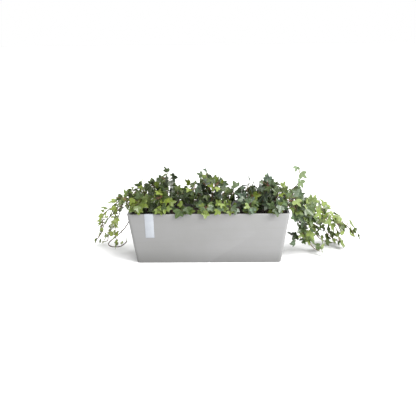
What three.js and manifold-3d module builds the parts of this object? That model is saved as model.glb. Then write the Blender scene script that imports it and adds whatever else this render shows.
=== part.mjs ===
// A window box planted with ivy, in millimetres, +Z up.
// The origin is the centre of the box's underside. +X runs along the box and -Y is its front.
//
// The box is a tapered tub with rounded corners. It holds potting soil, in which every ivy stem
// stands in a hole of its own. A stem carries its leaves on petioles, fused into one leafy stem.
// Six plants make the mounds, and longer runners hang over the two ends down to the ground.
import * as THREE from "three";
import { mergeVertices } from "three/addons/utils/BufferGeometryUtils.js";
import Module from "manifold-3d";

const wasm = await Module();
wasm.setup();

// ---------------------------------------------------------------- driving dimensions
const RIM_LENGTH = 550;
const RIM_WIDTH = 175;
const HEIGHT = 184;
const BASE_LENGTH = 502;
const WALL = 8;
const BASE_THICKNESS = 8;
const CORNER_RADIUS = 12;
const EDGE_ROUND = 1.6;
const LEAN = (RIM_LENGTH - BASE_LENGTH) / 2 / HEIGHT; // how far a wall leans out for each mm of height
const DRAIN_HOLE_RADIUS = 5;
const DRAIN_HOLE_XS = [-180, -60, 60, 180];
const NOTCH = { width: 9, depth: 11, height: 2.6 }; // the small drain notch under the front wall

const SOIL_DROP = 22; // soil surface below the rim
const SOIL_TOP = HEIGHT - SOIL_DROP;
const SOIL_GAP = 0.4;

const LABEL = { x: -200, width: 30, front: 86, back: 13, thickness: 0.8, gap: 0.3 };

const ROOT_DEPTH = 18;
const HOLE_GAP = 0.5; // between a stem's three flats and those of its hole
const STEM = { radius: 1.9, sides: 3 };
const PETIOLE = { halfWidth: 0.7, halfThickness: 0.45 };
const BLADE_HALF = 0.4; // half of a leaf blade's thickness
const JOINT_STEP = 1.3; // how far along the blade the petiole's joint is stepped

// ---------------------------------------------------------------- small vector helpers
const add = (a, b) => [a[0] + b[0], a[1] + b[1], a[2] + b[2]];
const sub = (a, b) => [a[0] - b[0], a[1] - b[1], a[2] - b[2]];
const scale = (a, k) => [a[0] * k, a[1] * k, a[2] * k];
const dot = (a, b) => a[0] * b[0] + a[1] * b[1] + a[2] * b[2];
const cross = (a, b) => [a[1] * b[2] - a[2] * b[1], a[2] * b[0] - a[0] * b[2], a[0] * b[1] - a[1] * b[0]];
const unit = (a) => scale(a, 1 / Math.sqrt(dot(a, a)));
const mix = (a, b, t) => add(scale(a, 1 - t), scale(b, t));
const clamp = (v) => Math.min(1, Math.max(0, v));
const UP = [0, 0, 1];

// A repeatable stream of numbers from 0 to 1.
function stream(seed) {
  let state = seed;
  return () => {
    state = (state * 16807) % 2147483647;
    return state / 2147483647;
  };
}
const between = (draw, low, high) => low + (high - low) * draw();
const jitter = (draw, size) => [0, 1, 2].map(() => between(draw, -size, size));

// ---------------------------------------------------------------- the planting plan
// Each plant makes one mound: where it stands, and how high its middle stem reaches above the rim.
const PLANTS = [
  { x: -228, y: 4, height: 60 },
  { x: -184, y: -4, height: 76 },
  { x: -142, y: 4, height: 94 },
  { x: -2, y: -3, height: 95 },
  { x: 136, y: 4, height: 66 },
  { x: 208, y: -4, height: 74 },
];
const RING_STEMS = 3; // stems round the middle one of each plant
const RING_RADIUS = 13;

// Runners: root on the soil, then the places that the stem passes on its way, the last being its tip.
const RIGHT_RUNNERS = [
  { root: [236, -46], route: [[270, -46, 214], [314, -41, 202], [346, -32, 168], [358, -25, 124]] },
  {
    root: [246, -18],
    route: [
      [280, -8, 214], [338, 8, 192], [383, 20, 166], [421, 30, 140],
      [456, 44, 110], [472, 50, 80],
    ],
  },
  {
    root: [236, 62],
    route: [
      [276, 72, 214], [342, 82, 182], [400, 92, 144], [450, 98, 112],
      [498, 104, 82], [526, 106, 56], [540, 108, 30],
    ],
  },
  {
    root: [248, 40],
    route: [
      [284, 50, 210], [338, 62, 164], [381, 76, 112], [420, 88, 66],
      [452, 96, 34], [486, 100, 9],
    ],
  },
  {
    root: [218, 46],
    route: [[278, 62, 208], [330, 76, 134], [376, 88, 78], [408, 94, 32], [440, 98, 10], [474, 100, 8]],
  },
  {
    root: [250, 8],
    route: [[286, 10, 208], [316, 14, 142], [340, 18, 78], [368, 18, 24], [398, 12, 9]],
  },
  {
    root: [228, -22],
    route: [
      [286, -26, 208], [314, -26, 184], [330, -24, 146], [334, -20, 108],
      [328, -18, 78], [308, -20, 70], [294, -22, 74],
    ],
  },
  { root: [252, -56], route: [[280, -58, 208], [302, -58, 184], [312, -52, 150]] },
  {
    root: [232, 24],
    route: [
      [286, 32, 207], [344, 36, 176], [400, 46, 140], [440, 54, 100],
      [466, 60, 66], [474, 62, 30],
    ],
  },
];
const LEFT_RUNNERS = [
  {
    root: [-246, 30],
    route: [
      [-286, 34, 207], [-318, 36, 192], [-348, 36, 172], [-372, 38, 150],
      [-384, 42, 122], [-388, 50, 92],
    ],
  },
  {
    root: [-238, -10],
    route: [
      [-286, -6, 208], [-314, 0, 180], [-329, 4, 156], [-334, 8, 119],
      [-335, 10, 81], [-334, 14, 44],
    ],
  },
  {
    root: [-250, 56],
    route: [[-290, 68, 206], [-346, 80, 144], [-382, 90, 100], [-402, 98, 56], [-420, 104, 26]],
  },
  {
    root: [-236, 66],
    route: [[-290, 84, 206], [-343, 100, 108], [-374, 112, 46], [-392, 120, 14], [-412, 126, 8]],
  },
];
// One old runner has lost most of its leaves. It hangs down behind the left end and curls on the ground.
const LEFT_BARE_RUNNER = {
  root: [-222, 50],
  route: [
    [-262, 98, 208], [-284, 110, 150], [-304, 104, 90], [-330, 94, 56],
    [-358, 84, 36], [-376, 74, 20], [-366, 66, 12], [-346, 62, 9],
    [-324, 66, 12], [-308, 78, 24],
  ],
};
// Two short sprays reach out over the left end.
const LEFT_SPRAYS = [
  { root: [-252, -34], route: [[-278, -37, 220], [-300, -42, 228]] },
  { root: [-254, 2], route: [[-286, 4, 210], [-308, 6, 182]] },
];
const SPRIG = { root: [254, 24], route: [[285, 22, 226], [304, 16, 254], [318, 10, 288], [310, 8, 320]] };

// Short sprays stand along the front and back walls, and their leaves spill over the rim.
const FRONT_SPRAYS = [-243, -155, -77, -9, 40, 78, 142, 234];
const BACK_SPRAYS = [-168, -104, -44, 52, 164];

// The points of a stem: straight down into the soil first, then a smooth curve through its route.
function stemPoints([x, y], route, perSpan) {
  const ways = [[x, y, SOIL_TOP + 8], ...route];
  const points = [[x, y, SOIL_TOP - ROOT_DEPTH], ways[0]];
  for (let i = 1; i < ways.length; i++) {
    const [b, c] = [ways[i - 1], ways[i]];
    const [a, d] = [ways[Math.max(i - 2, 0)], ways[Math.min(i + 1, ways.length - 1)]];
    for (let k = 1; k <= perSpan; k++) {
      const t = k / perSpan, t2 = t * t, t3 = t * t * t;
      const weights = [-t3 + 2 * t2 - t, 3 * t3 - 5 * t2 + 2, -3 * t3 + 4 * t2 + t, t3 - t2];
      points.push([a, b, c, d].map((p, j) => scale(p, weights[j] / 2)).reduce(add));
    }
  }
  return points;
}

// A mound's stem: the middle one stands up, those round it arch out and over.
function moundStem(plant, ring, draw) {
  const turn = ((ring - 1 + between(draw, -0.25, 0.25)) / RING_STEMS + plant.x / 90) * 2 * Math.PI;
  const aside = () => between(draw, -0.3, 0.3);
  const out = ring ? [Math.cos(turn), Math.sin(turn)] : [aside(), aside()];
  const lift = ring ? between(draw, 0.35, 0.95) : 1;
  const top = HEIGHT + plant.height * lift;
  const far = ring ? [between(draw, 44, 60), 88 - 44 * lift] : [16, 16];
  const place = (share, z) => [plant.x + out[0] * far[0] * share, plant.y + out[1] * far[1] * share, z];
  const root = [plant.x + out[0] * RING_RADIUS, plant.y + out[1] * RING_RADIUS];
  const waist = place(0.42, SOIL_TOP + 0.6 * (top - SOIL_TOP));
  return stemPoints(root, [waist, place(0.78, top), place(1, ring ? top - 8 : top + 6)], 1);
}

// ---------------------------------------------------------------- keeping clear
// Everything that is planted is a "thing": points, edges and triangles with half a thickness.
function thing(points, edges, triangles, half) {
  const centre = scale(points.reduce(add), 1 / points.length);
  const reach = Math.max(...points.map((p) => Math.sqrt(dot(sub(p, centre), sub(p, centre)))));
  return { points, edges, triangles, half, centre, reach };
}
const twig = (a, b, half) => thing([a, b], [[a, b]], [], half);

function gapOfEdges([p, q], [s, t]) {
  const d1 = sub(q, p), d2 = sub(t, s), r = sub(p, s);
  const a = dot(d1, d1), e = dot(d2, d2), f = dot(d2, r), c = dot(d1, r), b = dot(d1, d2);
  const spread = a * e - b * b;
  let u = spread > 1e-9 ? clamp((b * f - c * e) / spread) : 0;
  let v = (b * u + f) / e;
  if (v < 0) [v, u] = [0, clamp(-c / a)];
  else if (v > 1) [v, u] = [1, clamp((b - c) / a)];
  const apart = sub(add(p, scale(d1, u)), add(s, scale(d2, v)));
  return Math.sqrt(dot(apart, apart));
}

function pointOverTriangle(p, [a, b, c], need) {
  const ab = sub(b, a), ac = sub(c, a), ap = sub(p, a);
  const normal = cross(ab, ac);
  const area = dot(normal, normal);
  const v = dot(cross(ap, ac), normal) / area;
  const w = dot(cross(ab, ap), normal) / area;
  return v >= 0 && w >= 0 && v + w <= 1 && Math.abs(dot(ap, normal)) / Math.sqrt(area) < need;
}

function edgePiercesTriangle([p, q], [a, b, c]) {
  const ab = sub(b, a), ac = sub(c, a), pq = sub(q, p), ap = sub(p, a);
  const h = cross(pq, ac);
  const det = dot(ab, h);
  if (Math.abs(det) < 1e-9) return false;
  const u = dot(ap, h) / det;
  const g = cross(ap, ab);
  const v = dot(pq, g) / det;
  const t = dot(ac, g) / det;
  return u >= 0 && v >= 0 && u + v <= 1 && t >= 0 && t <= 1;
}

function meets(one, other, gap) {
  const need = one.half + other.half + gap;
  const apart = sub(one.centre, other.centre);
  if (dot(apart, apart) > (one.reach + other.reach + need) ** 2) return false;
  for (const e of one.edges) for (const f of other.edges) if (gapOfEdges(e, f) < need) return true;
  for (const [a, b] of [[one, other], [other, one]])
    for (const face of b.triangles) {
      for (const p of a.points) if (pointOverTriangle(p, face, need)) return true;
      for (const e of a.edges) if (edgePiercesTriangle(e, face)) return true;
    }
  return false;
}

// Whether a point keeps clear of the box, the soil and the ground.
function freePlace([x, y, z], room) {
  if (z < room) return false;
  if (z > HEIGHT + room) return true;
  const inset = LEAN * (HEIGHT - z);
  const [ex, ey] = [Math.abs(x) - RIM_LENGTH / 2 + inset, Math.abs(y) - RIM_WIDTH / 2 + inset];
  if (ex > room || ey > room) return true;
  return ex < -WALL - room && ey < -WALL - room && z > SOIL_TOP + room;
}
const ROOM = 2.4;
const SAMPLES = 10; // places looked at along each edge
function freeOfBox(edges) {
  return edges.every(([a, b]) => {
    for (let i = 0; i <= SAMPLES; i++) if (!freePlace(mix(a, b, i / SAMPLES), ROOM)) return false;
    return true;
  });
}

// ---------------------------------------------------------------- the ivy leaf
// Half an outline in shares of the leaf's length: [along the midrib, across it]. `cut` is how deep the
// bays between the lobes are. A small leaf has three lobes, and a larger one five.
function halfOutline(length, cut) {
  const side = [0.44, 0.61], bay = [0.48, 0.32 - 0.14 * cut];
  if (length < 37) return [[0.02, 0.38], side, bay];
  return [[-0.15, 0.42], [0.12, 0.37 - 0.14 * cut], side, bay];
}

// The blade's height over its own plane: folded up from the midrib, and drooping towards its edge.
const bend = (leaf, u, v) => leaf.fold * Math.abs(v) - leaf.droop * (u * u + 0.8 * v * v);

function bladePoint(leaf, u, v) {
  const w = bend(leaf, u, v) * leaf.length;
  const flat = add(scale(leaf.along, u * leaf.length), scale(leaf.across, v * leaf.length));
  return add(add(leaf.base, flat), scale(leaf.normal, w));
}

// The outline goes round from the petiole's right to its left, and the faces fan out from the petiole.
function blade(leaf) {
  const half = halfOutline(leaf.length, leaf.cut);
  const root = PETIOLE.halfWidth / leaf.length;
  const right = half.map(([u, v]) => bladePoint(leaf, u, -v));
  const left = half.map(([u, v]) => bladePoint(leaf, u, v)).reverse();
  const n = half.length;
  const [start, tip, end] = [[0, -root], [1, 0], [0, root]].map(([u, v]) => bladePoint(leaf, u, v));
  const rim = [start, ...right, tip, ...left, end];
  const last = rim.length - 1;
  const faces = [[0, n + 1, last]];
  for (let i = 1; i <= n; i++) faces.push([0, i, i + 1], [last, i + n, i + n + 1]);
  return { rim, faces };
}

function bladeThing({ rim, faces }) {
  const edges = rim.map((p, i) => [p, rim[(i + 1) % rim.length]]);
  for (const [a, b, c] of faces) edges.push([rim[a], rim[c]], [rim[b], rim[a]]);
  return thing(rim, edges, faces.map((f) => f.map((i) => rim[i])), BLADE_HALF);
}

// ---------------------------------------------------------------- growing the leaves
const LEAF_GAP = 0.7;
const TRIES = 14;
// For each kind of stem: leaf lengths, how many leaves and how far apart, petiole lengths, how much a
// leaf's facing is scattered, how far it turns round its stem, how far up it looks, how it hangs, and
// how wide it is for its length.
const kindOf = (sizes, leaves, step, petiole, spread, sway, light, hang, slim = 1) => {
  return { sizes, leaves, step, petiole, spread, sway, light, hang, slim };
};
const KINDS = {
  mound: kindOf([29, 43], 6, 15, [10, 30], 0.75, 18, 0.7, 0.5),
  spray: kindOf([27, 42], 4, 11, [8, 24], 0.55, 18, 0.45, 1.0),
  runner: kindOf([33, 49], 8, 27, [8, 22], 0.7, 70, 0.7, 0.4),
  tendril: kindOf([26, 38], 6, 27, [5, 12], 0.8, 40, 0.7, 0.9, 0.68),
  bare: kindOf([18, 27], 3, 22, [6, 12], 0.8, 50, 0.7, 0.5, 0.75),
  sprig: kindOf([30, 38], 4, 25, [3, 6], 0.5, 16, 0.4, 0.8),
};

// The point of a stem at a distance from its tip, and the way the stem grows there.
function fromTip(points, distance) {
  for (let i = points.length - 1; i > 0; i--) {
    const step = sub(points[i], points[i - 1]);
    const length = Math.sqrt(dot(step, step));
    const way = scale(step, 1 / length);
    if (distance <= length) return [sub(points[i], scale(way, distance)), way];
    distance -= length;
  }
  return [points[0], UP];
}

// One try at a leaf: it faces away from the plant's heart and up, and its tip hangs out and down.
function tryLeaf(stem, count, draw) {
  const kind = KINDS[stem.kind];
  const distance = 3 + (count + (count ? between(draw, -0.3, 0.3) : 0)) * kind.step;
  const [start, ahead] = fromTip(stem.points, distance);
  const turn = 2.4 * count + stem.turn;
  const away = [start[0] - stem.heart[0], start[1] - stem.heart[1], 0];
  const outward = unit(add(away, [kind.sway * Math.cos(turn), kind.sway * Math.sin(turn), 0]));
  const face = unit(add(outward, scale(UP, kind.light)));
  const normal = unit(add(face, jitter(draw, kind.spread)));
  const side = scale(unit(cross(ahead, face)), count % 2 ? 1 : -1);
  const sideways = count ? between(draw, 0.3, 1) : between(draw, -0.3, 0.3);
  const lead = add(add(scale(side, sideways), scale(face, 0.5)), scale(ahead, count ? 0.35 : 1.2));
  const petiole = unit(add(lead, jitter(draw, 0.45)));
  const base = add(start, scale(petiole, between(draw, ...kind.petiole)));
  const hang = add(add(scale(petiole, 0.8), scale(face, 0.5)), [0, 0, -kind.hang]);
  const wish = add(hang, jitter(draw, 0.6));
  const along = unit(sub(wish, scale(normal, dot(wish, normal))));
  const young = clamp(1 - count / 3);
  const length = between(draw, ...kind.sizes) * (1 - 0.3 * young);
  const [cut, fold, droop] = [draw(), between(draw, 0.06, 0.34), between(draw, 0.05, 0.3)];
  const across = scale(cross(normal, along), kind.slim);
  return { start, base, along, across, normal, length, cut, fold, droop };
}

function leafFits(leaf, stem, standing) {
  const stalkway = unit(sub(leaf.base, leaf.start));
  if (dot(stalkway, leaf.along) < -0.2 || Math.abs(dot(stalkway, leaf.across)) > 0.75) return null;
  const flat = bladeThing(blade(leaf));
  const stalk = twig(leaf.start, leaf.base, PETIOLE.halfWidth);
  if (!freeOfBox(flat.edges) || !freeOfBox(stalk.edges)) return null;
  const free = standing.every(
    (s) => !meets(flat, s, LEAF_GAP) && (s.stem === stem || !meets(stalk, s, LEAF_GAP)),
  );
  return free ? [flat, stalk] : null;
}

function makeStems() {
  const stems = [];
  const standing = [];
  const plant = (name, kind, heart, route) => {
    const draw = stream(561 + 37 * (stems.length + 1));
    for (let attempt = 0; attempt < TRIES; attempt++) {
      const points = route(draw);
      const twigs = points.slice(1).map((p, i) => twig(points[i], p, STEM.radius));
      if (!freeOfBox(twigs.slice(1).flatMap((a) => a.edges))) continue;
      if (twigs.some((a) => standing.some((b) => meets(a, b, LEAF_GAP)))) continue;
      const stem = { name, kind, heart, points, draw, turn: 6.28 * draw(), leaves: [] };
      twigs.forEach((a) => standing.push(Object.assign(a, { stem })));
      stems.push(stem);
      return;
    }
  };
  const wander = (draw, route) =>
    route.map((p) => add(p, [between(draw, -4, 4), between(draw, -4, 4), between(draw, 0, 3)]));
  const runner = (kind, side) => ({ root, route }, i) => {
    const heart = [root[0] * 0.9, 110];
    plant(`${side}_runner_${i + 1}`, kind, heart, (draw) => stemPoints(root, wander(draw, route), 2));
  };
  RIGHT_RUNNERS.forEach(runner("runner", "right"));
  LEFT_RUNNERS.forEach(runner("tendril", "left"));
  const curl = (draw) => stemPoints(LEFT_BARE_RUNNER.root, wander(draw, LEFT_BARE_RUNNER.route), 2);
  plant("left_bare_runner", "bare", [-200, 110], curl);
  const sprigPoints = (draw) => stemPoints(SPRIG.root, wander(draw, SPRIG.route), 2);
  plant("right_upright_sprig", "sprig", [300, 60], sprigPoints);
  LEFT_SPRAYS.forEach(({ root, route }, i) => {
    const outwards = (draw) => stemPoints(root, wander(draw, route), 2);
    plant(`left_spray_${i + 1}`, "spray", [root[0] + 40, root[1]], outwards);
  });
  const spray = (side, away) => (x, i) => {
    const route = [[x, 68 * away, SOIL_TOP + 32], [x, 82 * away, HEIGHT + 21]];
    const upwards = (draw) => stemPoints([x, 60 * away], wander(draw, route), 2);
    plant(`${side}_spray_${i + 1}`, "spray", [x, 20 * away], upwards);
  };
  FRONT_SPRAYS.forEach(spray("front", -1));
  BACK_SPRAYS.forEach(spray("back", 1));
  PLANTS.forEach((p, i) => {
    const heart = [p.x * 0.97, p.y * 0.4];
    for (let ring = 0; ring <= RING_STEMS; ring++)
      plant(`plant_${i + 1}_stem_${ring + 1}`, "mound", heart, (draw) => moundStem(p, ring, draw));
  });
  // The leaves at the tips come first on every stem, and those further in fill the room that is left.
  for (let count = 0; count < 8; count++)
    for (const stem of stems) {
      if (count >= KINDS[stem.kind].leaves) continue;
      for (let attempt = 0; attempt < TRIES; attempt++) {
        const leaf = tryLeaf(stem, count, stem.draw);
        const fitted = leafFits(leaf, stem, standing);
        if (!fitted) continue;
        fitted.forEach((a) => standing.push(Object.assign(a, { stem })));
        stem.leaves.push(leaf);
        break;
      }
    }
  return stems;
}

// ---------------------------------------------------------------- solids
function geometryOf(vertices, triangles) {
  return new THREE.BufferGeometry()
    .setAttribute("position", new THREE.BufferAttribute(new Float32Array(vertices.flat()), 3))
    .setIndex(triangles.flat());
}

function solidOf(geometry) {
  const bare = geometry.clone();
  bare.deleteAttribute("normal");
  bare.deleteAttribute("uv");
  const merged = mergeVertices(bare, 1e-4);
  const vertProperties = new Float32Array(merged.attributes.position.array);
  const triVerts = new Uint32Array(merged.index.array);
  return new wasm.Manifold(new wasm.Mesh({ numProp: 3, vertProperties, triVerts }));
}

function geometryOfSolid(solid) {
  const { vertProperties, triVerts } = solid.getMesh();
  return new THREE.BufferGeometry()
    .setAttribute("position", new THREE.BufferAttribute(new Float32Array(vertProperties), 3))
    .setIndex(new THREE.BufferAttribute(new Uint32Array(triVerts), 1));
}

// A stem's line as a curve that passes its points one by one.
class StemLine extends THREE.Curve {
  constructor(points) {
    super();
    this.points = points.map((p) => new THREE.Vector3(...p));
  }

  place(u) {
    return Math.round(u * (this.points.length - 1));
  }

  getPointAt(u) {
    return this.points[this.place(u)].clone();
  }

  getTangentAt(u) {
    const i = this.place(u);
    const ahead = this.points[Math.min(i + 1, this.points.length - 1)].clone();
    return ahead.sub(this.points[Math.max(i - 1, 0)]).normalize();
  }
}

// A stem's section, which its hole in the soil repeats a little wider.
function stemSection(radius) {
  const corners = [];
  for (let k = 0; k < STEM.sides; k++) {
    const a = (2 * Math.PI * k) / STEM.sides;
    corners.push(new THREE.Vector2(radius * Math.cos(a), radius * Math.sin(a)));
  }
  return new THREE.Shape(corners);
}

function stemTube(points, radius) {
  const options = { steps: points.length - 1, bevelEnabled: false, extrudePath: new StemLine(points) };
  return new THREE.ExtrudeGeometry(stemSection(radius), options);
}

// A leaf's blade with its petiole, as one closed body whose root lies on the stem's own line. Where the
// petiole comes from below or above, the joint is stepped along the blade on that side.
function leafBody(leaf) {
  const { rim, faces } = blade(leaf);
  const thick = scale(leaf.normal, BLADE_HALF);
  const n = rim.length;
  const stalk = unit(sub(leaf.base, leaf.start));
  const wide = unit(sub(leaf.across, scale(stalk, dot(leaf.across, stalk))));
  const across = scale(wide, PETIOLE.halfWidth);
  const rise = scale(cross(stalk, wide), PETIOLE.halfThickness);
  const fromBelow = dot(stalk, leaf.normal);
  const vertices = [...rim.map((p) => add(p, thick)), ...rim.map((p) => sub(p, thick))];
  for (const i of [0, n - 1]) {
    vertices[i] = add(vertices[i], scale(leaf.along, JOINT_STEP * Math.max(0, -fromBelow)));
    vertices[i + n] = add(vertices[i + n], scale(leaf.along, JOINT_STEP * Math.max(0, fromBelow)));
  }
  const ridge = add(leaf.start, rise);
  vertices.push(sub(ridge, across), add(ridge, across), sub(leaf.start, rise));
  const triangles = faces.flatMap(([a, b, c]) => [[a, b, c], [a + n, c + n, b + n]]);
  for (let i = 0; i < n - 1; i++) triangles.push([i, i + n, i + n + 1], [i, i + n + 1, i + 1]);
  const [topRight, topLeft, underRight, underLeft] = [0, n - 1, n, 2 * n - 1];
  const [endRight, endLeft, endUnder] = [2 * n, 2 * n + 1, 2 * n + 2];
  triangles.push([topRight, topLeft, endLeft], [topRight, endLeft, endRight]);
  triangles.push([underLeft, underRight, endUnder]);
  triangles.push([underRight, topRight, endRight], [underRight, endRight, endUnder]);
  triangles.push([topLeft, underLeft, endUnder], [topLeft, endUnder, endLeft]);
  triangles.push([endRight, endLeft, endUnder]);
  return geometryOf(vertices, triangles);
}

function leafyStem(stem) {
  const parts = [stemTube(stem.points, STEM.radius), ...stem.leaves.map(leafBody)];
  return geometryOfSolid(parts.map(solidOf).reduce((a, b) => a.add(b)));
}

// A rectangle with round corners, centred on the origin.
function roundedRectangle(length, width, radius) {
  const [x, y] = [length / 2 - radius, width / 2 - radius];
  const shape = new THREE.Shape();
  shape.absarc(x, y, radius, 0, Math.PI / 2);
  shape.absarc(-x, y, radius, Math.PI / 2, Math.PI);
  shape.absarc(-x, -y, radius, Math.PI, 1.5 * Math.PI);
  shape.absarc(x, -y, radius, 1.5 * Math.PI, 2 * Math.PI);
  return shape;
}

// Moves the walls of an upright block inwards, the more the lower, so that they lean like the box's.
function leanWalls(geometry) {
  const at = geometry.attributes.position;
  for (let i = 0; i < at.count; i++) {
    const inset = LEAN * (HEIGHT - at.getZ(i));
    at.setX(i, at.getX(i) - Math.sign(at.getX(i)) * inset);
    at.setY(i, at.getY(i) - Math.sign(at.getY(i)) * inset);
  }
  return geometry;
}

function leaningBlock(shrink, bottom, top, round) {
  const corner = Math.max(CORNER_RADIUS - shrink, 4);
  const shape = roundedRectangle(RIM_LENGTH - 2 * shrink, RIM_WIDTH - 2 * shrink, corner);
  const options = { depth: top - bottom - 2 * round, curveSegments: 4, bevelEnabled: round > 0 };
  Object.assign(options, { bevelSize: round, bevelThickness: round, bevelOffset: -round, bevelSegments: 1 });
  return leanWalls(new THREE.ExtrudeGeometry(shape, options).translate(0, 0, bottom + round));
}

function windowBox() {
  let tub = solidOf(leaningBlock(0, 0, HEIGHT, EDGE_ROUND));
  tub = tub.subtract(solidOf(leaningBlock(WALL, BASE_THICKNESS, HEIGHT + 5, 0)));
  for (const x of DRAIN_HOLE_XS) {
    const hole = new THREE.CylinderGeometry(DRAIN_HOLE_RADIUS, DRAIN_HOLE_RADIUS, 3 * BASE_THICKNESS, 8);
    tub = tub.subtract(solidOf(hole.rotateX(Math.PI / 2).translate(x, 0, 0)));
  }
  const front = -RIM_WIDTH / 2 + LEAN * HEIGHT;
  const notch = new THREE.BoxGeometry(NOTCH.width, 2 * NOTCH.depth, 2 * NOTCH.height);
  return geometryOfSolid(tub.subtract(solidOf(notch.translate(0, front, 0))));
}

function pottingSoil(stems) {
  let soil = solidOf(leaningBlock(WALL + SOIL_GAP, BASE_THICKNESS + SOIL_GAP, SOIL_TOP, 0));
  for (const { points } of stems) {
    const [x, y, z] = points[0];
    const upright = [[x, y, z - HOLE_GAP], [x, y, SOIL_TOP + ROOT_DEPTH]];
    soil = soil.subtract(solidOf(stemTube(upright, STEM.radius + 2 * HOLE_GAP)));
  }
  return geometryOfSolid(soil);
}

// The blank label: a strip that hangs over the front wall, bent to the rim.
function frontLabel() {
  const { x, width, front, back, thickness, gap } = LABEL;
  const far = gap + thickness;
  const outside = (z) => -RIM_WIDTH / 2 + LEAN * (HEIGHT - z);
  const inside = (z) => outside(z) + WALL;
  const [low, short] = [HEIGHT - front, HEIGHT - back];
  const outline = [
    [outside(low) - far, low], [outside(HEIGHT) - far, HEIGHT + far],
    [inside(HEIGHT) + far, HEIGHT + far], [inside(short) + far, short],
    [inside(short) + gap, short], [inside(HEIGHT) + gap, HEIGHT + gap],
    [outside(HEIGHT) - gap, HEIGHT + gap], [outside(low) - gap, low],
  ];
  const shape = new THREE.Shape(outline.map((p) => new THREE.Vector2(...p)));
  const strip = new THREE.ExtrudeGeometry(shape, { depth: width, bevelEnabled: false });
  const [toX, toY, toZ] = [new THREE.Vector3(1, 0, 0), new THREE.Vector3(0, 1, 0), new THREE.Vector3(0, 0, 1)];
  return strip.applyMatrix4(new THREE.Matrix4().makeBasis(toY, toZ, toX)).translate(x - width / 2, 0, 0);
}

// ---------------------------------------------------------------- materials and the group
const MATERIALS = {
  box: { color: 0xb9b9b6, roughness: 0.75, metalness: 0 },
  label: { color: 0xe6e9f0, roughness: 0.55, metalness: 0 },
  soil: { color: 0x2c2119, roughness: 0.95, metalness: 0 },
  mound: { color: 0x3f5a35, roughness: 0.45, metalness: 0 },
  spray: { color: 0x4d6d3a, roughness: 0.45, metalness: 0 },
  runner: { color: 0x56743c, roughness: 0.45, metalness: 0 },
  tendril: { color: 0x76913f, roughness: 0.5, metalness: 0 },
  bare: { color: 0x76913f, roughness: 0.5, metalness: 0 },
  sprig: { color: 0x7fa255, roughness: 0.5, metalness: 0 },
};

function piece(name, geometry, look) {
  const mesh = new THREE.Mesh(geometry, new THREE.MeshStandardMaterial(MATERIALS[look]));
  mesh.name = name;
  return mesh;
}

const group = new THREE.Group();
const stems = makeStems();
group.add(piece("window_box", windowBox(), "box"));
group.add(piece("front_label", frontLabel(), "label"));
group.add(piece("potting_soil", pottingSoil(stems), "soil"));
for (const stem of stems) group.add(piece(`ivy_${stem.name}`, leafyStem(stem), stem.kind));

export default group;
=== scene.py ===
# %% [markdown]
# # A window box planted with ivy
#
# The real thing is a long tapered tub of matt grey plastic, filled with soil and planted with
# six ivies. They mound above the rim, spill over the front, and hang down over both ends.
#
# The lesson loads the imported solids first, because they fix every size and place. Each solid is
# then replaced by a finer piece of the same form: soft edges on the tub, crumbs in the soil,
# round stems, and leaves that are bent and veined.

import math
from collections import namedtuple

import bmesh
import bpy
import numpy as np
from mathutils import Matrix, Vector, noise


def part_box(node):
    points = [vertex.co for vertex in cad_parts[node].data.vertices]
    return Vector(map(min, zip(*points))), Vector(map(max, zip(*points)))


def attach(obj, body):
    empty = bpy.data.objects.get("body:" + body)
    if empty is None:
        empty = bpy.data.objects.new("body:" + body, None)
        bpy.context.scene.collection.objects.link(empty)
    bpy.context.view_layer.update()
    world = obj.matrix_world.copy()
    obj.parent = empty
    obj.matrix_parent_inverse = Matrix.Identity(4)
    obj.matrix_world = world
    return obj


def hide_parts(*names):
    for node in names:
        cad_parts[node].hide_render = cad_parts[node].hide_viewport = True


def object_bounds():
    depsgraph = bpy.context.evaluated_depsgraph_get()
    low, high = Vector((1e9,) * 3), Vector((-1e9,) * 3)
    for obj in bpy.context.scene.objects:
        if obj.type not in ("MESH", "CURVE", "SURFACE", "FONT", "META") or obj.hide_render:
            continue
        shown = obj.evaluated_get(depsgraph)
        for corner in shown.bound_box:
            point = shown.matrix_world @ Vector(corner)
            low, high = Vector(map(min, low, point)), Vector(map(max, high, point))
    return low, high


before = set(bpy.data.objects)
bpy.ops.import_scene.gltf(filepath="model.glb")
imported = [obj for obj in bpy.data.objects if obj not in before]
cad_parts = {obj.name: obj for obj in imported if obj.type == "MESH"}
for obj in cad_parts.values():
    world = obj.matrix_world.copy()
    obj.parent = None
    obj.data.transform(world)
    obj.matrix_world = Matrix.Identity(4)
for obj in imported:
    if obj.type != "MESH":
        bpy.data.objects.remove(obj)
cad_low, cad_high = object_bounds()
print("solids:", len(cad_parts), "box:", [round(c, 3) for c in (*cad_low, *cad_high)])

# %% [markdown]
# ## The sizes
#
# All sizes are in millimetres, because that is how a planter is drawn. Blender works in metres,
# so meshes are scaled by MM when they are finished.

# %% Sizes of the tub, the soil and the label
MM = 0.001
RIM_LENGTH, RIM_WIDTH, HEIGHT = 550, 175, 184
BASE_LENGTH = 502
WALL, BASE_THICKNESS, CORNER_RADIUS, EDGE_ROUND = 8, 8, 12, 1.6
LEAN = (RIM_LENGTH - BASE_LENGTH) / 2 / HEIGHT
DRAIN_HOLE_RADIUS, DRAIN_HOLE_XS = 5, (-180, -60, 60, 180)
NOTCH = {"width": 9, "depth": 11, "height": 2.6}
SOIL_DROP = 22
SOIL_TOP = HEIGHT - SOIL_DROP
SOIL_GAP = 0.4
LABEL = {"x": -200, "width": 30, "front": 86, "back": 13, "thickness": 0.8, "gap": 0.3}
ROOT_DEPTH = 18
STEM_RADIUS = 1.9
PETIOLE_HALF_WIDTH = 0.7
BLADE_HALF = 0.4  # half of a blade's thickness, for the planting rule
print("walls lean", round(math.degrees(math.atan(LEAN)), 1), "degrees")

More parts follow.
